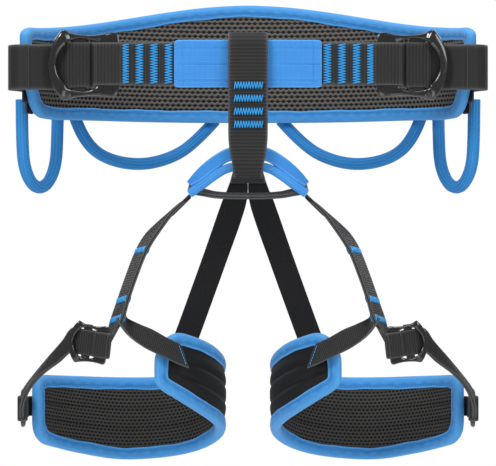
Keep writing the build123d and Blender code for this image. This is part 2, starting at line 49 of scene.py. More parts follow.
# ---------------------------------------------------------------- sizes, as in the CAD
PAD_THICK = 9.0
BELT_LOW, BELT_HIGH = -31.0, 13.0
BELT_OFF = 11.2
BELT_THICK = 2.4
FRONT_Z, FRONT_WIDE, FRONT_THICK = -6.5, 41.5, 4.6
FRONT_Y = -113.0
SLEEVE_HALF, SLEEVE_WIDE = 71.0, 46.0
LOOP_TOP_Z, LOOP_TOP_R = 12.5, 9.1
LOOP_BOTTOM_Z, LOOP_BOTTOM_R = -102.0, 13.2
LEG_WEB_WIDE = 25.0
LEG_SCALE = 0.6
RIB_PITCH = 3.35               # cross ribs of the waist webbing, then the belay loop, leg straps and tape
LOOP_RIB, LEG_RIB, FINE_RIB = 3.5, 2.6, 1.6
STEP = 0.5                     # rows along a strap
CORD_RADIUS, PIPING_RADIUS, WIRE_RADIUS = 6.3, 4.5, 1.9
SLEEVE_ROWS = (-0.72, -0.02, 0.66)     # stitched rows, as shares of the sleeve's half width
SLEEVE_HEM = 8                 # stitched hem's distance from the sleeve's end
FRONT_TACKS = (76.5, 90.5, 104.5, 118.5)
LOOP_TACKS = (-28, -40.5, -53, -65.5)
LEG_TACKS = (-187, -235, -254)
TAPE = 12.5                    # edge binding's width on each face

WAIST_HALF = [
    (0, 95, -56, 65.5), (42, 92.5, -56, 63.2), (82, 81, -56, 57.2), (117, 61.5, -56, 50), (148, 35, -56, 43),
    (174, 4, -56.5, 37.5), (193, -28, -57, 34), (204, -55, -52, 32), (210, -74, -28, 31), (213.5, -89, 5, 27),
]
LEG_PAD = [
    (-208, -10, -364, -318), (-204, 0, -378, -312), (-190, 22, -386, -313), (-165, 45, -394, -315),
    (-130, 64, -401, -317), (-90, 72, -400, -317), (-58, 60, -393, -312), (-38, 35, -381, -303),
    (-32, 4, -368, -294), (-39, -26, -357, -282), (-55, -54, -344, -272), (-75, -71, -330, -267),
    (-88, -76.5, -321, -280), (-93, -78, -314, -292),
]


# ---------------------------------------------------------------- camera, light and stage
def remap(tree, value, low, high, first=0.0, last=1.0):
    """A shader value running from first to last, carried over to low and high."""
    made = tree.nodes.new("ShaderNodeMapRange")
    for socket, number in (("From Min", first), ("From Max", last), ("To Min", low), ("To Max", high)):
        made.inputs[socket].default_value = number
    tree.links.new(value, made.inputs["Value"])
    return made.outputs["Result"]


def studio():
    scene = bpy.context.scene
    scene.view_settings.view_transform = "Standard"
    camera = bpy.data.objects.new("camera", bpy.data.cameras.new("camera"))
    camera.data.lens = 217.7
    camera.location = (0, -3.0, -0.1695)
    camera.rotation_euler = (math.pi / 2, 0, 0)
    scene.collection.objects.link(camera)
    scene.camera = camera
    for name, place, size, power in (
        ("key", (-1.7, -2.3, 1.5), 1.0, 52),
        ("fill", (1.8, -2.1, 0.9), 1.3, 30),
        ("top", (0, -0.2, 2.2), 1.4, 30),
        ("low", (0.2, -2.6, -0.8), 1.0, 6),
        ("back_left", (-1.7, 2.2, 1.2), 1.4, 30),
        ("back_right", (1.7, 2.3, 0.9), 1.4, 26),
    ):
        lamp = bpy.data.lights.new(name, "AREA")
        lamp.size, lamp.energy = size, power
        light = bpy.data.objects.new(name, lamp)
        light.location = place
        aim = np.array([0, 0, -0.17]) - np.array(place)
        light.rotation_euler = Vector(aim).to_track_quat("-Z", "Y").to_euler()
        scene.collection.objects.link(light)
    world = bpy.data.worlds.new("studio")
    world.use_nodes = True
    scene.world = world
    nodes, links = world.node_tree.nodes, world.node_tree.links
    sky = nodes["Background"]
    sky.inputs["Color"].default_value = (1, 1, 1, 1)
    path = nodes.new("ShaderNodeLightPath")
    links.new(remap(world.node_tree, path.outputs["Is Camera Ray"], 0.30, 1.0), sky.inputs["Strength"])
    bm = bmesh.new()
    bmesh.ops.create_circle(bm, cap_ends=True, segments=96, radius=9)
    mesh = bpy.data.meshes.new("floor")
    bm.to_mesh(mesh)
    floor = bpy.data.objects.new("floor", mesh)
    floor.location = (0, 0, -1.15)
    scene.collection.objects.link(floor)
    paper = bpy.data.materials.new("paper")
    paper.use_nodes = True
    matt = paper.node_tree.nodes["Principled BSDF"]
    matt.inputs["Base Color"].default_value = (0.9, 0.9, 0.9, 1)
    matt.inputs["Roughness"].default_value = 0.9
    floor.data.materials.append(paper)


# ---------------------------------------------------------------- materials
def material(name, colour, other, rough=0.7, weave=0.0, depth=0.15, ridge=None, sheen=0.0, coat=0.0,
             specular=0.3, cloud=35.0):
    """A woven, knitted or moulded finish. weave is the yarn pitch and depth the relief, in mm, ridge a paler
    colour on raised edges (a painted highlight, with a little edge wear), and cloud the scale of the colour's
    drift."""
    made = bpy.data.materials.new(name)
    made.use_nodes = True
    nodes, links = made.node_tree.nodes, made.node_tree.links
    shader = nodes["Principled BSDF"]
    for socket, number in (("Specular IOR Level", specular), ("Sheen Weight", sheen),
                           ("Sheen Roughness", 0.4), ("Coat Weight", coat), ("Coat Roughness", 0.08)):
        shader.inputs[socket].default_value = number
    place = nodes.new("ShaderNodeTexCoord")
    drift = nodes.new("ShaderNodeTexNoise")
    drift.inputs["Scale"].default_value = cloud
    drift.inputs["Detail"].default_value = 6
    links.new(place.outputs["Object"], drift.inputs["Vector"])
    tint = nodes.new("ShaderNodeMix")
    tint.data_type = "RGBA"
    tint.inputs["A"].default_value = (*colour, 1)
    tint.inputs["B"].default_value = (*other, 1)
    links.new(drift.outputs["Fac"], tint.inputs["Factor"])
    shown = tint.outputs["Result"]
    height = drift.outputs["Fac"]
    if weave:
        bands = []
        for direction, pitch in (("X", weave), ("Y", weave * 0.8)):
            wave = nodes.new("ShaderNodeTexWave")
            wave.bands_direction = direction
            wave.inputs["Scale"].default_value = math.pi / 10 / (pitch * MM)
            wave.inputs["Distortion"].default_value = 0.4
            wave.inputs["Detail"].default_value = 1
            links.new(place.outputs["UV"], wave.inputs["Vector"])
            bands.append(wave.outputs["Fac"])
        yarn = nodes.new("ShaderNodeMath")
        yarn.operation = "MULTIPLY"
        links.new(bands[0], yarn.inputs[0])
        links.new(bands[1], yarn.inputs[1])
        height = yarn.outputs["Value"]
        # Painted shade and highlight: the colour darkens in the weave's grooves and lightens on the yarn tops
        weave_shade_and_highlight = nodes.new("ShaderNodeVectorMath")
        weave_shade_and_highlight.operation = "SCALE"
        links.new(shown, weave_shade_and_highlight.inputs["Vector"])
        links.new(remap(made.node_tree, height, 0.72, 1.25), weave_shade_and_highlight.inputs["Scale"])
        shown = weave_shade_and_highlight.outputs["Vector"]
    # Painted highlight: a paler colour on raised edges and rib crests, found by pointiness, with a little
    # edge wear
    if ridge:
        geometry = nodes.new("ShaderNodeNewGeometry")
        highlight_and_wear_mask = remap(made.node_tree, geometry.outputs["Pointiness"], 0.0, 1.0, 0.505, 0.56)
        highlight_and_wear = nodes.new("ShaderNodeMix")
        highlight_and_wear.data_type = "RGBA"
        highlight_and_wear.inputs["B"].default_value = (*ridge, 1)
        links.new(highlight_and_wear_mask, highlight_and_wear.inputs["Factor"])
        links.new(shown, highlight_and_wear.inputs["A"])
        shown = highlight_and_wear.outputs["Result"]
    links.new(shown, shader.inputs["Base Color"])
    gloss = remap(made.node_tree, drift.outputs["Fac"], rough - 0.07, rough + 0.07)
    links.new(gloss, shader.inputs["Roughness"])
    relief = nodes.new("ShaderNodeBump")
    relief.inputs["Strength"].default_value = 0.8
    relief.inputs["Distance"].default_value = depth * MM
    links.new(height, relief.inputs["Height"])
    links.new(relief.outputs["Normal"], shader.inputs["Normal"])
    return made


# The ridge colours below are painted highlights on raised edges and rib crests, with a little edge wear
BLACK = (0.010, 0.010, 0.011)
WEBBING = material("webbing", BLACK, (0.018, 0.018, 0.019), 0.62, weave=0.9, ridge=(0.075, 0.075, 0.078),
                   sheen=0.05)
TWILL = material("twill", BLACK, (0.016, 0.016, 0.018), 0.6, weave=0.55, depth=0.08,
                 ridge=(0.05, 0.05, 0.053))
COVER = material("cover", (0.008, 0.008, 0.009), (0.014, 0.014, 0.015), 0.66, weave=0.7, depth=0.06,
                 specular=0.2)
BACKING = material("backing", (0.006, 0.006, 0.006), (0.012, 0.011, 0.010), 0.9, weave=1.1, depth=0.2,
                   specular=0.1)
WAIST_KNIT = material("waist_knit", (0.042, 0.038, 0.035), (0.075, 0.069, 0.064), 0.85, weave=0.7, depth=0.12,
                      ridge=(0.13, 0.12, 0.11), specular=0.15)
LEG_KNIT = material("leg_knit", (0.020, 0.020, 0.020), (0.036, 0.035, 0.034), 0.85, weave=0.6, depth=0.12,
                    ridge=(0.065, 0.063, 0.06), specular=0.15)
BINDING = material("binding", (0.030, 0.225, 0.60), (0.050, 0.290, 0.70), 0.72, weave=0.8, depth=0.10,
                   ridge=(0.11, 0.40, 0.82), sheen=0.15, specular=0.2, cloud=55)
SLEEVE_BLUE = material("sleeve_blue", (0.045, 0.270, 0.74), (0.065, 0.320, 0.82), 0.7, weave=1.2, depth=0.16,
                       ridge=(0.12, 0.42, 0.88), specular=0.2)
THREAD = material("thread", (0.020, 0.33, 0.80), (0.035, 0.42, 0.90), 0.45, weave=0.5, depth=0.08,
                  specular=0.4)
STITCH = material("stitch", (0.060, 0.33, 0.80), (0.09, 0.40, 0.86), 0.5, weave=0.4, depth=0.05)
SHEATH = material("sheath", (0.022, 0.215, 0.58), (0.035, 0.27, 0.68), 0.68, weave=1.0, depth=0.2,
                  ridge=(0.08, 0.37, 0.80), specular=0.2)
BUCKLE_BLACK = material("buckle_black", (0.006, 0.006, 0.007), (0.010, 0.010, 0.011), 0.17, depth=0.012,
                        ridge=(0.02, 0.02, 0.022), coat=0.6, specular=0.5, cloud=160)
WIRE = material("wire", (0.010, 0.010, 0.011), (0.022, 0.022, 0.024), 0.28, depth=0.02,
                ridge=(0.06, 0.06, 0.065), coat=0.2, specular=0.5, cloud=200)
ELASTIC = material("elastic", (0.008, 0.008, 0.009), (0.013, 0.013, 0.014), 0.75, weave=0.6, depth=0.1,
                   specular=0.2)


# ---------------------------------------------------------------- meshes from grids of points
def spline(knots, values, at):
    """A smooth curve through values at the knots, read at the places in at."""
    values = np.asarray(values, float).reshape(len(knots), -1)
    slope = np.gradient(values, knots, axis=0) if len(knots) > 1 else np.zeros_like(values)
    for i in range(1, len(knots) - 1):
        slope[i] = (values[i + 1] - values[i - 1]) / (knots[i + 1] - knots[i - 1])
    i = np.clip(np.searchsorted(knots, at, side="right") - 1, 0, len(knots) - 2)
    span = (knots[i + 1] - knots[i])[:, None]
    t = (at[:, None] - knots[i][:, None]) / span
    a, b = values[i], values[i + 1]
    return (
        (2 * t ** 3 - 3 * t ** 2 + 1) * a + (t ** 3 - 2 * t ** 2 + t) * span * slope[i]
        + (3 * t ** 2 - 2 * t ** 3) * b + (t ** 3 - t ** 2) * span * slope[i + 1]
    )


def lengths(points):
    return np.concatenate([[0], np.cumsum(np.linalg.norm(np.diff(points, axis=0), axis=1))])


def unit(v):
    return v / np.linalg.norm(v, axis=-1, keepdims=True)


def follow(stations, step):
    """Evenly spaced rows along a strap: place, across and outward directions, width and distance along.
    A station is (x, y, z, across, width)."""
    place = np.array([s[:3] for s in stations], float)
    across = unit(np.array([s[3] for s in stations], float))
    width = np.array([s[4] for s in stations], float)
    knots = lengths(place)
    fine = np.linspace(0, knots[-1], max(int(knots[-1] / 0.5), 8))
    run = lengths(spline(knots, place, fine))
    at = np.interp(np.linspace(0, run[-1], max(int(run[-1] / step), 4) + 1), run, fine)
    p = spline(knots, place, at)
    a = unit(spline(knots, across, at))
    w = spline(knots, width, at)[:, 0]
    n = unit(np.cross(a, np.gradient(p, axis=0)))
    return p, a, n, w, lengths(p)


def grid(points, u, v, round_u=False, round_v=True, caps=True):
    """A surface over rows and columns of points, in mm. u and v are its lengths along and across."""
    rows, cols = points.shape[:2]
    index = np.arange(rows * cols).reshape(rows, cols)
    if round_u:
        index = np.vstack([index, index[:1]])
    if round_v:
        index = np.hstack([index, index[:, :1]])
    faces = np.stack([index[:-1, :-1], index[1:, :-1], index[1:, 1:], index[:-1, 1:]], -1)
    faces = faces.reshape(-1, 4)
    uu, vv = np.meshgrid(u, v, indexing="ij")
    uv = np.stack([uu, vv], -1) * MM
    corners = np.stack([uv[:-1, :-1], uv[1:, :-1], uv[1:, 1:], uv[:-1, 1:]], 2).reshape(-1, 2)
    faces = faces.tolist()
    if caps and not round_u and round_v:
        faces.append(list(range(cols))[::-1])
        faces.append(list(range((rows - 1) * cols, rows * cols)))
        corners = np.vstack([corners, uv[0, :cols][::-1], uv[-1, :cols]])
    return points.reshape(-1, 3), faces, corners


def joined(parts):
    """Several surfaces as one."""
    verts, faces, corners, start = [], [], [], 0
    for points, part_faces, part_corners in parts:
        verts.append(points)
        faces += [[start + i for i in face] for face in part_faces]
        corners.append(part_corners)
        start += len(points)
    return np.vstack(verts), faces, np.vstack(corners)


def mirrored(part):
    points, faces, corners = part
    return points * [-1, 1, 1], faces, corners


def build(name, parts, finish, body, slot=None, stands_for=(), ride=True):
    """One object in the frame, riding on its CAD body."""
    points, faces, corners = joined(parts)
    mesh = bpy.data.meshes.new(name)
    mesh.from_pydata((points * MM).tolist(), [], faces)
    mesh.uv_layers.new(name="UVMap").data.foreach_set("uv", corners.ravel())
    mesh.materials.append(finish)
    bm = bmesh.new()
    bm.from_mesh(mesh)
    bmesh.ops.recalc_face_normals(bm, faces=bm.faces)
    bm.to_mesh(mesh)
    bm.free()
    mesh.polygons.foreach_set("use_smooth", [len(p.vertices) == 4 for p in mesh.polygons])
    made = bpy.data.objects.new(name, mesh)
    bpy.context.scene.collection.objects.link(made)
    if ride:
        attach(made, body)
    if stands_for:
        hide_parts(*stands_for)
    return made


def build_pair(name, parts, finish, body, slot=None, stands_for=(), ride=True):
    """The piece drawn at -X and its mirror image. {} in a body's or node's name stands for the side."""
    made = []
    for side in ("left", "right"):
        shown = parts if side == "left" else [mirrored(part) for part in parts]
        nodes = [node.format(side) for node in stands_for]
        made.append(build(f"{name}_{side}", shown, finish, body.format(side), slot, nodes, ride))
    return made


# ---------------------------------------------------------------- straps and tubes
def ribs(run, pitch, sharp=1.0):
    """The height of the cross ribs at each distance, from 0 to 1."""
    return (0.5 + 0.5 * np.cos(2 * np.pi * run / pitch)) ** sharp


def strap(rows, near, far, rib=0.28, pitch=RIB_PITCH, lines=0, round_u=False, plain=1.6):
    """Webbing along rows from follow(), from offset near to far, with cross ribs or lengthwise lines."""
    p, a, n, w, run = rows
    half_thick = (far - near) / 2
    middle = (near + far) / 2
    fractions = np.array([-1, -0.93, -0.8, -0.6, -0.4, -0.2, 0, 0.2, 0.4, 0.6, 0.8, 0.93, 1])
    if lines:
        fractions = np.linspace(-1, 1, 6 * lines + 1)
    sections = []
    for side in (1, -1):
        along = fractions if side == 1 else fractions[::-1]
        flat = along[None, :] * (w / 2 - half_thick * 0.6)[:, None]
        inside = np.clip((w[:, None] / 2 - np.abs(flat)) / plain - 0.4, 0, 1)
        lift = rib * ribs(run, pitch)[:, None] * inside
        if lines:
            lift = rib * (0.5 + 0.5 * np.cos(2 * np.pi * lines * (along[None, :] + 1) / 2)) * inside
        height = middle + side * (half_thick - rib * 0.5 + lift)
        sections.append(p[:, None] + a[:, None] * flat[..., None] + n[:, None] * height[..., None])
        edge = along[-1] * (w / 2)
        sections.append((p + a * edge[:, None] + n * middle)[:, None])
    points = np.concatenate(sections, 1)
    around = lengths(np.vstack([points[0], points[0][:1]]))
    u = np.append(run, run[-1] + np.linalg.norm(p[-1] - p[0])) if round_u else run
    return grid(points, u, around, round_u)


def arch(points, step):
    """A smooth route near its points, as a quadratic spline from the first to the last."""
    c = np.array(points, float)
    mids = (c[1:] + c[:-1]) / 2
    starts = np.vstack([c[:1], mids[1:-1]]) if len(c) > 3 else c[:1]
    ends = np.vstack([mids[1:-1], c[-1:]]) if len(c) > 3 else c[-1:]
    t = np.linspace(0, 1, 40)[:, None]
    curve = [(1 - t) ** 2 * s + 2 * t * (1 - t) * m + t ** 2 * e for s, m, e in zip(starts, c[1:-1], ends)]
    dense = np.vstack(curve)
    run = lengths(dense)
    even = np.linspace(0, run[-1], int(run[-1] / step) + 1)
    return np.stack([np.interp(even, run, dense[:, k]) for k in range(3)], 1)


def frames(path, closed=False):
    """Steady side and up directions along a path."""
    ahead = unit(np.gradient(path, axis=0))
    if closed:
        ahead = unit(np.roll(path, -1, 0) - np.roll(path, 1, 0))
    side = [unit(np.cross(ahead[0], [0.31, 0.2, 0.93]))]
    for t in ahead[1:]:
        side.append(unit(side[-1] - t * (side[-1] @ t)))
    side = np.array(side)
    return side, np.cross(ahead, side)


def tube(path, radius, around=16, closed=False, knit=0.0, ridges=0, stitch=2.0, squash=1.0):
    """A round bar along a path, with knit stitches in lengthwise ridges if asked for."""
    side, up = frames(path, closed)
    angle = np.linspace(0, 2 * np.pi, around, endpoint=False)
    run = lengths(path)
    r = np.full((len(path), around), float(radius))
    if knit:
        ridge = 0.5 + 0.5 * np.cos(ridges * angle)
        shift = 0.5 * np.round(ridges * angle / 2 / np.pi)
        beat = 0.5 + 0.5 * np.cos(2 * np.pi * (run[:, None] / stitch + shift))
        r = r - knit + knit * ridge[None, :] * (0.45 + 0.55 * beat)
    points = path[:, None] + r[..., None] * (
        side[:, None] * np.cos(angle)[None, :, None] + up[:, None] * np.sin(angle)[None, :, None] * squash)
    u = np.append(run, run[-1] + np.linalg.norm(path[-1] - path[0])) if closed else run
    return grid(points, u, np.linspace(0, 2 * np.pi * radius, around + 1), closed)


def stitches(line, normal, long=2.6, gap=1.2, thick=0.45, sink=0.1):
    """A row of separate stitches along a line of points that lies on a surface."""
    run = lengths(line)
    parts = []
    at = gap
    while at + long < run[-1]:
        spots = np.array([at, at + long * 0.2, at + long * 0.8, at + long])
        path = np.stack([np.interp(spots, run, line[:, k]) for k in range(3)], 1)
        out = np.stack([np.interp(spots, run, normal[:, k]) for k in range(3)], 1)
        path = path + out * (np.array([-0.5, 0.6, 0.6, -0.5]) * thick - sink)[:, None]
        parts.append(tube(path, thick, around=6))
        at += long + gap
    return parts


def zigzag(centre, stroke, advance, out, width, length, pitch=1.3, thick=0.55):
    """A bar-tack: one dense zigzag of thread, width across and length long."""
    count = int(length / pitch)
    path, lift = [], []
    for i in range(count + 1):
        side = 1 if i % 2 else -1
        along = -length / 2 + i * pitch
        for share, high in ((0.0, -0.6), (0.18, 0.35), (0.5, 0.6), (0.82, 0.35), (1.0, -0.6)):
            path.append((side * width * (0.5 - share), along + pitch * share))
            lift.append(high * thick)
    path, lift = np.array(path), np.array(lift)
    points = (np.asarray(centre) + path[:, :1] * np.asarray(stroke) + path[:, 1:] * np.asarray(advance)
              + lift[:, None] * np.asarray(out))
    return tube(points, thick, around=6)


# ---------------------------------------------------------------- pads
class Pad:
    """A curved pad: its inner face stands upright, and it thickens outward. All measures are in mm."""

    def __init__(self, stations, rounding, quilt=0.0, crown=1.6):
        place = np.array([(x, y) for x, y, _, _ in stations], float)
        knots = lengths(place)
        fine = np.arange(0, knots[-1], 1.0)
        self.at = spline(knots, place, fine)
        self.run = lengths(self.at)
        ahead = unit(np.gradient(self.at, axis=0))
        self.out = np.stack([-ahead[:, 1], ahead[:, 0]], 1)
        edges = spline(knots, [(low, high) for _, _, low, high in stations], fine)
        self.quilt, self.crown = quilt, crown
        ring = np.vstack([np.stack([self.run, edges[:, 0]], 1), np.stack([self.run, edges[:, 1]], 1)[::-1]])
        ring = self.even(np.vstack([ring, ring[:1]]), 1.2)[:-1]
        window = np.ones(rounding) / rounding
        for _ in range(2):
            wrapped = np.vstack([ring[-rounding:], ring, ring[:rounding]])
            ring = np.stack([
                np.convolve(wrapped[:, k], window, "same")[rounding:-rounding] for k in range(2)], 1)
        self.ring = ring
        ahead = unit(np.roll(ring, -1, 0) - np.roll(ring, 1, 0))
        self.inward = np.stack([-ahead[:, 1], ahead[:, 0]], 1)
        turn = int(np.argmax(ring[:, 0]))
        start = int(np.argmin(ring[:, 0]))
        lower = np.roll(ring, -start, 0)[:(turn - start) % len(ring) + 1]
        upper = np.roll(ring, -turn, 0)[:(start - turn) % len(ring) + 1][::-1]
        self.lower, self.upper = np.maximum.accumulate(lower), np.maximum.accumulate(upper)
        self.lower[:, 1], self.upper[:, 1] = lower[:, 1], upper[:, 1]
        self.ends = (ring[:, 0].min(), ring[:, 0].max())

    @staticmethod
    def even(line, step):
        run = lengths(line)
        at = np.linspace(0, run[-1], int(run[-1] / step) + 1)
        return np.stack([np.interp(at, run, line[:, k]) for k in range(line.shape[1])], 1)

    def low(self, s):
        return np.interp(s, self.lower[:, 0], self.lower[:, 1])

    def high(self, s):
        return np.interp(s, self.upper[:, 0], self.upper[:, 1])

    def point(self, s, z, off):
        """The place s along the pad, at height z, off its inner face."""
        s, z, off = np.broadcast_arrays(s, z, off)
        flat = np.stack([np.interp(s, self.run, self.at[:, k]) + np.interp(s, self.run, self.out[:, k]) * off
                         for k in range(2)], -1)
        return np.concatenate([flat, z[..., None]], -1)

    def normal(self, s):
        x, y = (np.interp(s, self.run, self.out[:, k]) for k in range(2))
        return np.stack([x, y, 0 * s], -1)

    def swell(self, s, z):
        """How full the pad is there, from 0 at its binding to 1, less its quilted channels."""
        low, high = self.low(s), self.high(s)
        edge = np.minimum(np.minimum(z - low, high - z), np.minimum(s - self.ends[0], self.ends[1] - s))
        full = np.clip((edge - 9) / 16, 0, 1)
        full = full * full * (3 - 2 * full)
        tall = np.maximum(high - low - 2 * TAPE, 1)
        share = (z - low - TAPE) / tall
        for channel in (1 / 3, 2 / 3):
            full = full - self.quilt * np.exp(-(((share - channel) * tall) / 2.4) ** 2) * (edge > TAPE)
        ripple = 0.10 * np.sin(s / 23.0 + z / 31.0) + 0.07 * np.sin(s / 9.7 - z / 13.0)
        return full * (1 + ripple)

    def inner(self, s, z):
        return 1.0 - self.crown * self.swell(s, z)

    def outer(self, s, z):
        return PAD_THICK - 1.2 + self.crown * self.swell(s, z)

    def body(self, step=2.0, inset=4.0):
        """The stuffed body between the bindings, as one closed form."""
        s = np.arange(self.ends[0] + inset, self.ends[1] - inset, step)
        share = np.linspace(0, 1, 45)
        low, high = self.low(s) + inset, self.high(s) - inset
        high = np.maximum(high, low + 0.5)
        z = low[:, None] + (high - low)[:, None] * share[None, :]
        along = np.repeat(s[:, None], len(share), 1)
        front = self.point(along, z, self.inner(along, z) + 0.5)
        back = self.point(along, z, self.outer(along, z))
        points = np.concatenate([front, back[:, ::-1]], 1)
        v = np.concatenate([share * 90, 90 + share * 90, [180]])
        return grid(points, s, v)

    def knit(self, pitch, row, thick, level):
        """Spacer mesh on the inner face: wavy strands that meet and part, with staggered holes between."""
        parts = []
        swing = (row - thick) / 2 + 0.06
        s = np.arange(self.ends[0] + 6, self.ends[1] - 6, pitch / 6)
        centre = level(s)
        for k in range(-18, 19):
            wave = swing * np.sin(2 * np.pi * s / pitch + math.pi * k)
            z = centre + k * row + wave
            inside = (z > self.low(s) + 8.5) & (z < self.high(s) - 8.5)
            for block in np.split(np.arange(len(s)), np.where(np.diff(inside.astype(int)) != 0)[0] + 1):
                if len(block) < 12 or not inside[block[0]]:
                    continue
                ss, zz = s[block], z[block]
                lay = []
                for side, lift in ((-0.5, 0.35), (-0.24, -0.45), (0.24, -0.45), (0.5, 0.35)):
                    zs = zz + side * thick
                    lay.append(self.point(ss, zs, self.inner(ss, zs) + lift))
                lay.append(self.point(ss, zz, self.inner(ss, zz) + 0.8))
                parts.append(grid(np.stack(lay, 1), ss, np.array([0, 0.7, 1.8, 2.5, 3.5, 4.5])))
        return parts

    def binding(self, wave):
        """Tape folded over the pad's whole edge, pinched along its stitch line."""
        profile = [
            (1.0, 1.6), (0.99, 0.2), (0.94, -0.45), (0.85, -0.55), (0.76, 0.0), (0.66, -0.7), (0.48, -0.95),
            (0.3, -0.7), (0.14, 0.25), (0.035, 2.0), (0.0, 4.5), (0.035, 7.0), (0.14, 8.75), (0.3, 9.6),
            (0.48, 9.9), (0.66, 9.7), (0.76, 9.0), (0.85, 9.5), (0.94, 9.4), (0.99, 8.8), (1.0, 7.4),
        ]
        run = lengths(self.ring)
        wide = TAPE + wave * np.sin(run / 11.0) + 0.5 * wave * np.sin(run / 4.3 + 1)
        wrinkle = 0.16 * np.sin(run / 2.1) + 0.12 * np.sin(run / 3.7)
        lay = []
        for share, off in profile:
            s = self.ring[:, 0] + self.inward[:, 0] * wide * share
            z = self.ring[:, 1] + self.inward[:, 1] * wide * share
            puff = wrinkle * (0.3 < share < 0.8) * (1 if off > 4 else -1)
            lay.append(self.point(s, z, off + puff))
        points = np.stack(lay, 1)
        around = lengths(np.vstack([points[0], points[0][:1]]))
        return grid(points, np.append(run, run[-1] + 1.2), around, round_u=True)

    def seam(self, share, off):
        """The binding's stitch line on one face, and the direction off that face."""
        run = lengths(self.ring)
        s = self.ring[:, 0] + self.inward[:, 0] * TAPE * share
        z = self.ring[:, 1] + self.inward[:, 1] * TAPE * share
        side = 1 if off > 4 else -1
        return self.point(s, z, np.full(len(run), float(off))), self.normal(s) * side


def pad_pieces(name, pad, knit_parts, knit_finish, body, pair):
    """The soft body, spacer mesh, binding and stitches of one pad."""
    maker = build_pair if pair else build
    end = "_{}" if pair else ""
    stuffed = maker(name + "_body", [pad.body()], COVER, body, "pad_cover",
                    (name + "_shell" + end, name + "_foam" + end))
    for piece in stuffed if pair else [stuffed]:
        piece.data.materials.append(BACKING)
    maker(name + "_knit", knit_parts, knit_finish, body, "pad_mesh", (name + "_lining" + end,))
    maker(name + "_tape", [pad.binding(0.35)], BINDING, body, "blue_binding", (name + "_binding" + end,))
    rows = []
    for share, off in ((0.77, -0.25), (0.77, 9.25)):
        rows += stitches(*pad.seam(share, off), long=2.4, gap=1.0, thick=0.36)
    maker(name + "_seam", rows, STITCH, body, "blue_thread")


WAIST = Pad([(-x, y, low, high) for x, y, low, high in WAIST_HALF[:0:-1]] + WAIST_HALF, 7, crown=1.4)
LEG = Pad(LEG_PAD, 9, quilt=0.75, crown=2.2)


# ---------------------------------------------------------------- buckles
def buckle_axes(at, turn, dip=0.0):
    """Origin, along, up and out directions of a buckle."""
    turn, dip = math.radians(turn), math.radians(dip)
    along = unit(np.array([math.cos(turn) * math.cos(dip), -math.sin(turn), -math.sin(dip)]))
    out = -unit(np.cross([0, 0, 1], along))
    return np.array(at, float), along, np.cross(out, along), out


def placed(points, axes, scale):
    origin, x, y, z = axes
    points = np.asarray(points, float) * scale
    return origin + points[..., :1] * x + points[..., 1:2] * y + points[..., 2:] * z


def through(a, b, c, count=24):
    """Points on the arc through a, b and c."""
    (ax, ay), (bx, by), (cx, cy) = a, b, c
    d = 2 * (ax * (by - cy) + bx * (cy - ay) + cx * (ay - by))
    aa, bb, cc = ax ** 2 + ay ** 2, bx ** 2 + by ** 2, cx ** 2 + cy ** 2
    ux = (aa * (by - cy) + bb * (cy - ay) + cc * (ay - by)) / d
    uy = (aa * (cx - bx) + bb * (ax - cx) + cc * (bx - ax)) / d
    r = math.hypot(ax - ux, ay - uy)
    first, mid, last = (math.atan2(y - uy, x - ux) for x, y in (a, b, c))
    turn = (last - first) % (2 * math.pi)
    if (mid - first) % (2 * math.pi) > turn:
        turn -= 2 * math.pi
    return [(ux + r * math.cos(first + turn * k / count), uy + r * math.sin(first + turn * k / count))
            for k in range(count)]


def reach(outline, centre, angles):
    """Where rays from centre at the angles cross a closed outline."""
    closed = np.vstack([outline, outline[:1]])
    bearing = np.unwrap(np.arctan2(closed[:, 1] - centre[1], closed[:, 0] - centre[0]))
    distance = np.hypot(closed[:, 0] - centre[0], closed[:, 1] - centre[1])
    if bearing[-1] < bearing[0]:
        bearing, distance = bearing[::-1], distance[::-1]
    wrapped = bearing[0] + (angles - bearing[0]) % (2 * np.pi)
    r = np.interp(wrapped, bearing, distance)
    return np.stack([centre[0] + r * np.cos(angles), centre[1] + r * np.sin(angles)], 1)


def buckle_ring(axes, scale):
    """The moulded ring: rounded everywhere, with a tall bulged outer bar and a flat inner one."""
    outline = np.array(
        through((-20, -34.5), (-34.8, 0), (-20, 34.5), 40)
        + through((-20, 34.5), (-14, 31.6), (-7, 29.8), 8) + through((-7, 29.8), (6, 28.6), (28, 31.5), 24)
        + through((28, 31.5), (32.6, 29.5), (34, 24.5), 10) + [(34, 8), (34, -8)]
        + through((34, -24.5), (32.6, -29.5), (28, -31.5), 10)
        + through((28, -31.5), (6, -30), (-20, -34.5), 24))
    outline = outline[::-1]
    wide, tall, corner = 14.7, 23.2, 4.0
    window = []
    for cx, cy, first in ((1, 1, 0), (-1, 1, 90), (-1, -1, 180), (1, -1, 270)):
        for k in range(9):
            a = math.radians(first + k * 90 / 8)
            window.append((-2 + cx * (wide - corner) + corner * math.cos(a),
                           cy * (tall - corner) + corner * math.sin(a)))
    angles = np.linspace(0, 2 * np.pi, 260, endpoint=False)
    centre = (-2.0, 0.0)
    inner, outer = reach(np.array(window), centre, angles), reach(outline, centre, angles)
    swell = np.clip((-13 - outer[:, 0]) / 12, 0, 1)
    swell = swell * swell * (3 - 2 * swell)
    flat = np.clip((outer[:, 0] - 12) / 10, 0, 1)
    top = 2.9 + 3.4 * swell - 1.0 * flat
    bottom = -2.6 + 1.6 * swell + 0.9 * flat
    lay = []
    for a in np.linspace(0, 2 * np.pi, 28, endpoint=False):
        across, up = math.cos(a), math.sin(a)
        across, up = np.sign(across) * abs(across) ** 0.55, np.sign(up) * abs(up) ** 0.75
        share = 0.5 + 0.5 * across
        spot = inner + (outer - inner) * share
        height = (top + bottom) / 2 + (top - bottom) / 2 * up
        lay.append(np.concatenate([spot, height[:, None]], 1))
    points = np.stack(lay, 1)
    run = np.append(lengths(outer), lengths(outer)[-1] + 1)
    return grid(placed(points, axes, scale), run * scale, np.linspace(0, 40 * scale, 29), round_u=True)


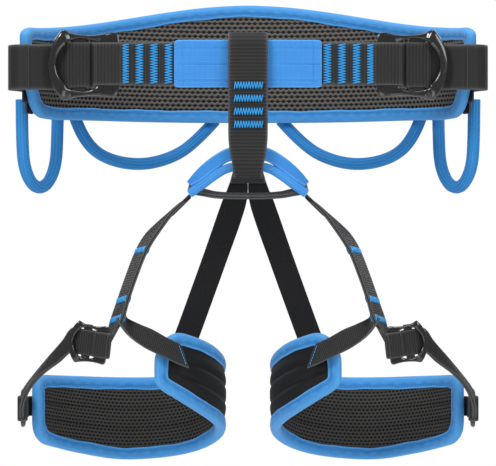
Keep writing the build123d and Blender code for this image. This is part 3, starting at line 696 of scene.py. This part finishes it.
def folded(axes, scale, middle, depth, long, thick, wide, rib=0.28, pitch=RIB_PITCH):
    """Webbing folded round a bar: a closed stadium across the buckle."""
    straight = (long - thick) / 2
    path = []
    for side in (1, -1):
        path += [(side * end, side * thick / 2) for end in (-straight, 0, straight)]
        for k in range(1, 6):
            a = math.radians(90 - k * 30)
            path.append((side * (straight + math.cos(a) * thick / 2), side * math.sin(a) * thick / 2))
    path.append(path[0])
    ring = np.array([(middle + x, 0, depth + z) for x, z in path])
    even = Pad.even(ring, 0.5 / scale)[:-1]
    p = placed(even, axes, scale)
    a = np.repeat(axes[2][None], len(p), 0)
    ahead = unit(np.roll(p, -1, 0) - np.roll(p, 1, 0))
    rows = (p, a, unit(np.cross(a, ahead)), np.full(len(p), float(wide)), lengths(p))
    return strap(rows, -1.1, 1.1, rib, pitch, round_u=True)


WAIST_BUCKLE = buckle_axes((-158.5, -103, -7), 7)
LEG_BUCKLE = buckle_axes((-155, -83, -276.5), 24, 7)


def buckles():
    build_pair("waist_buckle", [buckle_ring(WAIST_BUCKLE, 1.0)], BUCKLE_BLACK, "waist_belt",
               "buckle_metal", ("waist_buckle_frame_{}",))
    build_pair("leg_buckle", [buckle_ring(LEG_BUCKLE, LEG_SCALE)], BUCKLE_BLACK, "leg_loop_{}",
               "buckle_metal", ("leg_buckle_frame_{}",))
    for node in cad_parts:
        if "slider" in node:
            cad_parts[node].data.materials.clear()
            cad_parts[node].data.materials.append(BUCKLE_BLACK)


# ---------------------------------------------------------------- waist
UP = (0, 0, 1)


def pads():
    waist_knit = WAIST.knit(5.9, 4.45, 2.85, lambda s: 0 * s + 4.0)
    leg_knit = LEG.knit(4.3, 3.5, 2.3, lambda s: (LEG.low(s) + LEG.high(s)) / 2)
    pad_pieces("waist_pad", WAIST, waist_knit, WAIST_KNIT, "waist_belt", False)
    pad_pieces("leg_pad", LEG, leg_knit, LEG_KNIT, "leg_loop_{}", True)


def off_waist(off, low, high, first, last):
    """Stations of a strap lying off the waist pad's inner face, between two of the pad's stations."""
    place = np.array([(x, y) for x, y, _, _ in WAIST_HALF], float)
    ahead = unit(np.vstack([place[1:2] - place[:1], place[2:] - place[:-2], place[-1:] - place[-2:-1]]))
    moved = place + np.stack([-ahead[:, 1], ahead[:, 0]], 1) * off
    return [(x, y, (low + high) / 2, UP, high - low) for x, y in moved[first:last]]


def flipped(stations):
    return [(-x, y, z, (-a[0], a[1], a[2]), w) for x, y, z, a, w in stations][::-1]


def belt():
    """One webbing round the outside of the pad, doubled at its ends and folded round each slider."""
    middle = (BELT_LOW + BELT_HIGH) / 2
    wide = BELT_HIGH - BELT_LOW
    back = off_waist(BELT_OFF, BELT_LOW, BELT_HIGH, 0, 9)
    whole = flipped(back)[:-1] + back
    front = [(226.5, -84), (224.5, -90), (219, -94.6), (211, -95.6), (201, -93.4), (190, -91.4), (175, -92.6)]
    end = back[6:] + [(x, y, middle, UP, wide) for x, y in front]
    rows = follow(end, 0.55)
    parts = [strap(follow(whole, 0.55), 0, BELT_THICK)]
    ends = [strap(rows, 0.1, 2.3, rib=0.14, pitch=FINE_RIB), strap(rows, 2.5, 4.7, rib=0.14, pitch=FINE_RIB)]
    ends.append(strap(follow(end[:-3], 0.55), 4.9, 6.6, rib=0.16, pitch=FINE_RIB))
    fold = folded(WAIST_BUCKLE, 1.0, -6.5, -5.8, 26, 6.8, wide)
    parts += ends + [mirrored(part) for part in ends] + [fold, mirrored(fold)]
    build("waist_belt_webbing", parts, WEBBING, "waist_belt", "black_webbing", ("waist_webbing",))


def patches():
    """The cloth patch on each pad end and the keepers round the tails."""
    seat = off_waist(PAD_THICK + 1.6, -42, 28, 7, 9)
    build_pair("pad_end_patch", [mirrored(strap(follow(seat, 0.8), -0.55, 0.55, rib=0.1, pitch=1.2))], TWILL,
               "waist_belt", "black_webbing")
    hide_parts("pad_end_patches")
    around = off_waist(PAD_THICK + 1.4, -34.5, 16.5, 6, 8)
    p, a, n, _, _ = follow(around, STEP)
    middle = int(len(p) * 0.4)
    path = []
    for side, edge in ((0, -1), (0, 1), (9, 1), (9, -1)):
        path.append(p[middle] + a[middle] * edge * 24.6 + n[middle] * side)
    ring = []
    for corner, before, after in zip(path, path[-1:] + path[:-1], path[1:] + path[:1]):
        into, out = unit(before - corner), unit(after - corner)
        for k in range(7):
            t = k / 6
            ring.append((1 - t) ** 2 * (corner + into * 3) + 2 * t * (1 - t) * corner
                        + t ** 2 * (corner + out * 3))
    ring = Pad.even(np.array(ring + ring[:1]), 0.6)[:-1]
    ahead = unit(np.roll(ring, -1, 0) - np.roll(ring, 1, 0))
    across = np.repeat(unit(p[middle + 1] - p[middle])[None], len(ring), 0)
    rows = (ring, across, unit(np.cross(across, ahead)), np.full(len(ring), 16.0), lengths(ring))
    build_pair("keeper_loop", [mirrored(strap(rows, -0.8, 0.8, rib=0, lines=7, round_u=True))], ELASTIC,
               "waist_belt", "elastic", ("tail_keeper_{}",))


def front():
    """The band between the buckles and its bar-tacks."""
    half = [(0, FRONT_Y), (40, FRONT_Y + 0.7), (71, FRONT_Y + 2.2), (100, FRONT_Y + 4.2),
            (125, FRONT_Y + 6)]
    right = [(x, y, FRONT_Z, UP, FRONT_WIDE) for x, y in half]
    rows = follow(flipped(right)[:-1] + right, STEP)
    fold_axes = buckle_axes((-158.5, -103, FRONT_Z), 7)
    fold = folded(fold_axes, 1.0, 24, 0, 29, 6.4, FRONT_WIDE)
    parts = [strap(rows, 0.1, 2.3), strap(rows, -2.3, -0.1, rib=0.32), fold, mirrored(fold)]
    build("front_band", parts, WEBBING, "waist_belt", "black_webbing", ("front_webbing",))
    tacks = []
    for x in FRONT_TACKS:
        y = FRONT_Y + 0.0004 * x * x - FRONT_THICK / 2 - 0.25
        for side in (-1, 1):
            tacks.append(zigzag((side * x, y, FRONT_Z), (1, side * 0.07, 0), UP, (0, -1, 0), 7.4,
                                FRONT_WIDE - 4))
    build("front_tacks", tacks, THREAD, "waist_belt", "blue_thread", ("front_bartacks",))


def sleeve():
    """The blue cloth tube over the middle of the front band, with three stitched rows and a stitched hem."""
    top, low = FRONT_Z + SLEEVE_WIDE / 2, FRONT_Z - SLEEVE_WIDE / 2
    x = np.arange(-SLEEVE_HALF, SLEEVE_HALF + 0.1, 1.0)
    corner = np.clip((SLEEVE_HALF - np.abs(x)) / 5.0, 0, 1)
    reach_z = SLEEVE_WIDE / 2 - 2.6 * (1 - np.sqrt(1 - (1 - corner) ** 2))
    y = np.interp(np.abs(x), [0, 40, 71], [FRONT_Y, FRONT_Y + 0.7, FRONT_Y + 2.2])
    share = np.linspace(-1, 1, 93)
    ribbed = 0.13 * np.cos(2 * np.pi * share * 14)
    rows = []
    for face in (-1, 1):
        across = share if face == -1 else share[::-1]
        edge = np.clip((1 - np.abs(across)) / 0.09, 0, 1)
        off = 2.6 + 1.2 * np.sqrt(1 - (1 - edge) ** 2)
        seam = np.zeros_like(across)
        for row in SLEEVE_ROWS:
            seam += np.exp(-((across - row) * SLEEVE_WIDE / 2 / 0.9) ** 2)
        off = off + ribbed * (edge > 0.9) - 0.35 * seam
        off = np.where(edge <= 0, 0, off)
        hem = np.exp(-((np.abs(x) - SLEEVE_HALF + SLEEVE_HEM) / 0.9) ** 2)
        depth = off[None, :] - 0.3 * hem[:, None] + 0.18 * np.sin(x / 15.0)[:, None]
        z = FRONT_Z + across[None, :] * reach_z[:, None]
        rows.append(np.stack([np.repeat(x[:, None], 93, 1), y[:, None] + face * depth, z], -1))
    points = np.concatenate([rows[0], rows[1][:, 1:-1]], 1)
    around = lengths(np.vstack([points[0], points[0][:1]]))
    build("tie_in_cover", [grid(points, x, around)], SLEEVE_BLUE, "waist_belt", "blue_webbing",
          ("tie_in_sleeve",))
    parts = []
    for row in SLEEVE_ROWS:
        z = FRONT_Z + row * SLEEVE_WIDE / 2
        for face in (-1, 1):
            line = np.stack([x, y + face * 3.55, np.full(len(x), z)], 1)
            parts += stitches(line, np.tile([0, face, 0], (len(x), 1)).astype(float), 2.2, 1.0, 0.34)
    for side in (-1, 1):
        z = np.arange(low + 4, top - 3, 0.5)
        place = side * (SLEEVE_HALF - SLEEVE_HEM)
        depth = np.interp(abs(place), np.abs(x[:72])[::-1], y[:72][::-1]) - 3.6
        line = np.stack([np.full(len(z), place), np.full(len(z), depth), z], 1)
        parts += stitches(line, np.tile([0.0, -1.0, 0.0], (len(z), 1)), 2.2, 1.0, 0.34)
    build("tie_in_stitches", parts, STITCH, "waist_belt", "blue_thread")


# ---------------------------------------------------------------- belay loop and bridge
def loop_depth(z):
    """How far the belay loop's front and back runs stand from its middle plane, at height z."""
    return np.interp(z, [LOOP_BOTTOM_Z, LOOP_TOP_Z], [LOOP_BOTTOM_R, LOOP_TOP_R])


def loop_stations(wide_top, wide_low):
    """The belay loop's middle line, over the top, down its back run, round the bottom and up its front."""
    spots = []
    for angle in list(range(180, -1, -20)):
        a = math.radians(angle)
        spots.append((math.cos(a) * LOOP_TOP_R, LOOP_TOP_Z + math.sin(a) * LOOP_TOP_R))
    for z in (0, -20, -40, -60, -80, -94):
        spots.append((loop_depth(z), z))
    for angle in range(0, -181, -20):
        a = math.radians(angle)
        spots.append((math.cos(a) * LOOP_BOTTOM_R, LOOP_BOTTOM_Z + math.sin(a) * LOOP_BOTTOM_R))
    for z in (-94, -80, -60, -40, -20, 0):
        spots.append((-loop_depth(z), z))
    made = []
    for y, z in spots:
        wide = np.interp(z, [-116, -104, -88, -70], [wide_low, wide_low + 3, wide_top - 1, wide_top])
        made.append((0, FRONT_Y + y, z, (-1, 0, 0), wide))
    return made


def belay():
    """The belay loop, its narrower overlay, and four bar-tacks across them."""
    closed = loop_stations(38, 27)
    rows = follow(closed + closed[:1], STEP)
    rows = tuple(row[:-1] for row in rows)
    inner = strap(rows, -2.2, -0.1, rib=0.3, round_u=True)
    outer = strap(rows, 0.1, 2.2, rib=0.36, round_u=True, pitch=LOOP_RIB)
    build("belay_loop_webbing", [inner, outer], WEBBING, "belay_loop", "black_webbing", ("belay_loop",))
    over = [s for s in closed[-6:] + closed[:8] if s[2] > -84]
    over = [(x, y, z, a, 25.5) for x, y, z, a, _ in over]
    first = over[0]
    over = [(first[0], first[1] - 0.2, -84.0, first[3], 25.5)] + over
    build("belay_loop_strip", [strap(follow(over, STEP), 2.3, 4.1, rib=0.36, pitch=LOOP_RIB)], WEBBING,
          "belay_loop", "black_webbing", ("belay_loop_overlay",))
    tacks = []
    for z in LOOP_TACKS:
        y = FRONT_Y - loop_depth(z) - 4.35
        tacks.append(zigzag((0, y, z), UP, (1, 0, 0), (0, -1, 0), 6.6, 26.5))
    build("belay_loop_tacks", tacks, THREAD, "belay_loop", "blue_thread", ("belay_loop_bartacks",))


BRIDGE_HALF = [
    (0, -113, -92.5, (0, 0, 1), 12.5), (18, -113, -94.0, (0, 0, 1), 13.5),
    (32, -110, -102, (0.25, 0.15, 1), 14), (46, -104, -113, (0.45, 0.4, 0.85), 13.0),
    (56, -98, -122, (0.5, 0.6, 0.6), 9.0),
]
PIPING = [
    (-56, -101, -131), (-44, -106, -123), (-33, -110.8, -114.5), (-19, -113.2, -106.0), (0, -113.4, -104.6),
    (19, -113.2, -106.0), (33, -110.8, -114.5), (44, -106, -123), (56, -101, -131),
]


def bridge():
    """The lower tie-in point: a flat stitched sleeve, a round roll under it, and the cross webbing."""
    rows = follow(flipped(BRIDGE_HALF)[:-1] + BRIDGE_HALF, 0.6)
    build("bridge_cover", [strap(rows, -2.6, 2.6, rib=0.12, pitch=FINE_RIB)], SLEEVE_BLUE, "waist_belt",
          "blue_webbing", ("bridge_sleeve", "tie_in_bridge"))
    p, a, n, w, _ = rows
    welt = []
    for side in (-1, 1):
        welt += stitches(p - a * (w * 0.22)[:, None] + n * side * 2.55, n * side, 1.6, 0.9, 0.34)
    build("bridge_stitches", welt, STITCH, "waist_belt", "blue_thread")
    roll = tube(arch(PIPING, 0.6), PIPING_RADIUS, around=30, knit=0.25, ridges=9, stitch=2.2)
    build("bridge_roll", [roll], SLEEVE_BLUE, "waist_belt", "blue_webbing", ("bridge_piping",))
    cross_half = [(0, -90, -133.6, (0, 1, 0.12), 25), (30, -90, -132.6, (0, 1, 0.14), 25),
                  (46, -90, -129.5, (0, 1, 0.2), 24), (57, -91, -127, (0.1, 1, 0.3), 22)]
    cross = follow(flipped(cross_half)[:-1] + cross_half, STEP)
    layers = [strap(cross, near, far, rib=0.35, pitch=LEG_RIB) for near, far in ((-2.2, -0.1), (0.1, 2.2))]
    build("cross_webbing", layers, WEBBING, "waist_belt", "black_webbing", ("cross_strap",))


# ---------------------------------------------------------------- gear loops
def gear_loops():
    """Ribbed tubular webbing over a formed core, hanging from tabs under the belt."""
    routes = {
        "gear_loop_front": [
            (-222.6, -48.1, -38), (-222.4, -47.8, -79), (-220.4, -43.8, -107), (-211.9, -27.1, -125),
            (-200.9, -5.4, -123), (-193.0, 10.1, -103), (-191.5, 13.2, -75), (-191.1, 13.8, -42)],
        "gear_loop_rear": [
            (-176.1, 32.2, -49), (-169.0, 36.2, -71), (-149.1, 47.5, -93), (-112.3, 68.4, -101),
            (-76.8, 88.6, -92), (-52.7, 102.2, -74), (-34.3, 112.7, -53)],
    }
    for name, route in routes.items():
        sheath = tube(arch(route, 0.55), CORD_RADIUS, around=48, knit=0.42, ridges=12, stitch=2.3)
        build_pair(name, [sheath], SHEATH, name + "_{}", "blue_sheath",
                   (name + "_sheath_{}", name + "_core_{}"))
    tabs = []
    for route in routes.values():
        for x, y, z in (route[0], route[-1]):
            spot = int(np.argmin(np.hypot(WAIST.at[:, 0] - x, WAIST.at[:, 1] - y)))
            out = np.array([*WAIST.out[spot], 0.0])
            along = np.array([out[1], -out[0], 0.0])
            middle = np.array([x, y, -42.0]) - out * 8.0
            tabs.append([(*(middle + along * k), UP, 21.0) for k in (-8, -3, 3, 8)])
    parts = [strap(follow(tab, 0.7), -0.8, 0.8, rib=0.1, pitch=1.4) for tab in tabs]
    build("gear_loop_tab_webbing", parts + [mirrored(part) for part in parts], TWILL, "waist_belt",
          "black_webbing", ("gear_loop_tabs",))


# ---------------------------------------------------------------- rear risers
RISER = [
    (-7.5, 109, -100, (1, 0, 0), 12), (-10.5, 109, -124, (1, 0.02, -0.15), 21),
    (-15.5, 108.8, -142, (1, 0.03, -0.33), 25), (-35, 105, -198, (1, 0.04, -0.34), 25),
    (-58, 97, -262, (1, 0.08, -0.34), 25),
    (-76, 87, -312, (1, 0.14, -0.34), 25), (-86, 86, -345, (1, 0.1, -0.25), 25),
]


def risers():
    """Flat elastic with lengthwise ribs, from a sewn patch at the back of the belt to each leg loop."""
    for side in ("left", "right"):
        part = strap(follow(RISER, 1.2), 0.1, 2.1, rib=0.16, lines=11)
        if side == "right":
            part = mirrored(part)
        elastic = build("riser_elastic_" + side, [part], ELASTIC, None, "elastic", ("riser_" + side,),
                        ride=False)
        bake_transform(elastic)
    anchor = [(0, 107.6, z, (1, 0, 0), wide) for z, wide in ((-31.5, 25), (-60, 25), (-92, 26), (-118, 38))]
    rows = follow(anchor, 0.55)
    build("riser_patch", [strap(rows, -1.1, 1.1, rib=0.22, pitch=2.4)], WEBBING, "waist_belt",
          "black_webbing", ("riser_anchor",))
    tacks = [zigzag((0, 109.0, z), UP, (1, 0, 0), (0, 1, 0), 6, 21) for z in (-38, -96)]
    build("riser_tacks", tacks, THREAD, "waist_belt", "blue_thread")


# ---------------------------------------------------------------- leg loops
LEG_WEBBING = [
    (-56, -96, -132, (0.72, -0.1, 0.7), 22), (-65.5, -94, -143, (0.72, -0.1, 0.7), 25),
    (-79, -94.5, -154, (0.72, -0.5, 0.6), 25), (-92, -94, -169, (0.62, -0.75, 0.3), 25),
    (-103, -93.5, -187, (0.45, -0.9, 0.1), 25), (-113, -92.5, -212, (0.42, -0.9, 0.1), 25),
    (-121, -91, -235, (0.45, -0.9, 0.15), 25), (-127, -89.5, -254, (0.5, -0.85, 0.2), 25),
    (-132, -91, -270, (0.4, -0.6, 0.7), 25),
]
INNER_STRAP = [
    (-123.5, -91, -250, (0.35, 0.85, 0.2), 22), (-117, -92.5, -260, (-0.1, 0.75, 0.66), 25),
    (-103, -94.5, -269, (-0.2, 0.35, 0.9), 25), (-88, -93.5, -276, (-0.3, 0.1, 0.95), 27),
    (-74, -90.5, -283.5, (-0.35, 0.05, 0.95), 27), (-62, -84.5, -289, (-0.35, 0.05, 0.95), 26),
]
ADJUST = [
    (-183, -64, -285, (0.3, 0.1, 1), 25), (-199, -59, -300, (0.5, 0.25, 0.85), 25),
    (-212, -52, -316, (0.45, 0.35, 0.85), 25), (-220.5, -45, -331, (0.2, 0.4, 0.9), 25),
    (-223, -37.5, -340, (0.02, 0.2, 0.97), 25),
]
RING = (-223.0, -24.0, -343.0)


def behind_bar(distance):
    """A station under the leg buckle's outer bar, at a distance from its middle."""
    spot = placed([(-distance, 0, -5.8)], LEG_BUCKLE, LEG_SCALE)[0]
    return (*spot, tuple(LEG_BUCKLE[2]), LEG_WEB_WIDE)


def leg_straps():
    """The two-layer front webbing, the strap to the inner thigh, and the adjustable strap to the ring."""
    rows = follow(LEG_WEBBING, STEP)
    fold = folded(LEG_BUCKLE, LEG_SCALE, 24, 0, 29, 7.6, LEG_WEB_WIDE, rib=0.3, pitch=LEG_RIB)
    front_parts = [strap(rows, near, far, rib=0.3, pitch=LEG_RIB) for near, far in ((0.2, 2.2), (-2.2, -0.2))]
    front_parts.append(fold)
    build_pair("leg_front_webbing", front_parts, WEBBING, "leg_loop_{}", "black_webbing", ("leg_webbing_{}",))
    inner = strap(follow(INNER_STRAP, STEP), -1.2, 1.2, rib=0.36, pitch=LEG_RIB)
    build_pair("inner_thigh_strap", [inner], WEBBING, "leg_loop_{}", "black_webbing", ("inner_strap_{}",))
    slope = [behind_bar(18.5), behind_bar(34)] + ADJUST
    rows = follow(slope, STEP)
    eye = folded(LEG_BUCKLE, LEG_SCALE, -6.5, -5.8, 27, 8.2, LEG_WEB_WIDE, rib=0.3, pitch=LEG_RIB)
    ring_fold = upright_fold((RING[0], RING[1] - 8.5, RING[2]), 12.5, 7.6, LEG_WEB_WIDE)
    adjust = [strap(rows, 0.15, 2.1, rib=0.26, pitch=LEG_RIB),
              strap(rows, -2.1, -0.15, rib=0.2, pitch=LEG_RIB), eye, ring_fold]
    build_pair("adjustable_strap", adjust, WEBBING, "leg_loop_{}", "black_webbing", ("adjust_strap_{}",))
    tab_run = [(-224.5, -9.5, RING[2], UP, 20), (-222, 2, RING[2], UP, 20), (-212, 17, RING[2], UP, 20)]
    tab = [strap(follow(tab_run, 0.7), -1.1, 1.1, rib=0.12, pitch=FINE_RIB),
           upright_fold((RING[0], RING[1] + 9.5, RING[2]), 10.5, 7.6, 20)]
    build_pair("ring_tab_webbing", tab, TWILL, "leg_loop_{}", "black_webbing", ("leg_ring_tab_{}",))
    half_long, half_deep, round_r = 17.0, 8.5, 4.5
    loop = []
    for cy, cz, first in ((1, 1, 0), (-1, 1, 90), (-1, -1, 180), (1, -1, 270)):
        for k in range(7):
            a = math.radians(first + k * 15)
            loop.append((RING[0], RING[1] + cy * (half_deep - round_r) + round_r * math.cos(a),
                         RING[2] + cz * (half_long - round_r) + round_r * math.sin(a)))
    loop = Pad.even(np.array(loop + loop[:1]), 0.8)[:-1]
    build_pair("ring_wire", [tube(loop, WIRE_RADIUS, around=14, closed=True)], WIRE, "leg_ring_{}",
               "ring_metal", ("leg_ring_{}",))
    tacks = []
    rows = follow(LEG_WEBBING, 1.0)
    for z in LEG_TACKS:
        i = int(np.argmin(np.abs(rows[0][:, 2] - z)))
        along = unit(np.gradient(rows[0], axis=0))[i]
        for side in (1, -1):
            out = rows[2][i] * side
            tacks.append(zigzag(rows[0][i] + out * 2.3, along, rows[1][i], out, 6.5, 21))
    p, a, n, _, _ = follow(INNER_STRAP, 1.0)
    i = len(p) - 4
    seam = p[i] + np.linspace(-11, 11, 45)[:, None] * a[i]
    face = -1.0 if n[i][1] > 0 else 1.0
    tacks += stitches(seam + n[i] * face * 1.3, np.tile(n[i] * face, (45, 1)), 2.0, 0.9, 0.4)
    build_pair("leg_tacks", tacks, THREAD, "leg_loop_{}", "blue_thread", ("leg_bartacks_{}",))


def upright_fold(centre, long, thick, wide):
    """Webbing folded round an upright wire: a closed stadium seen from above."""
    axes = tuple(np.array(v, float) for v in (centre, (0, 1, 0), (0, 0, 1), (1, 0, 0)))
    return folded(axes, 1.0, 0, 0, long, thick, wide, rib=0.14, pitch=1.8)


for step in (studio, pads, buckles, belt, patches, front, sleeve, belay, bridge, gear_loops, risers,
             leg_straps):
    step()
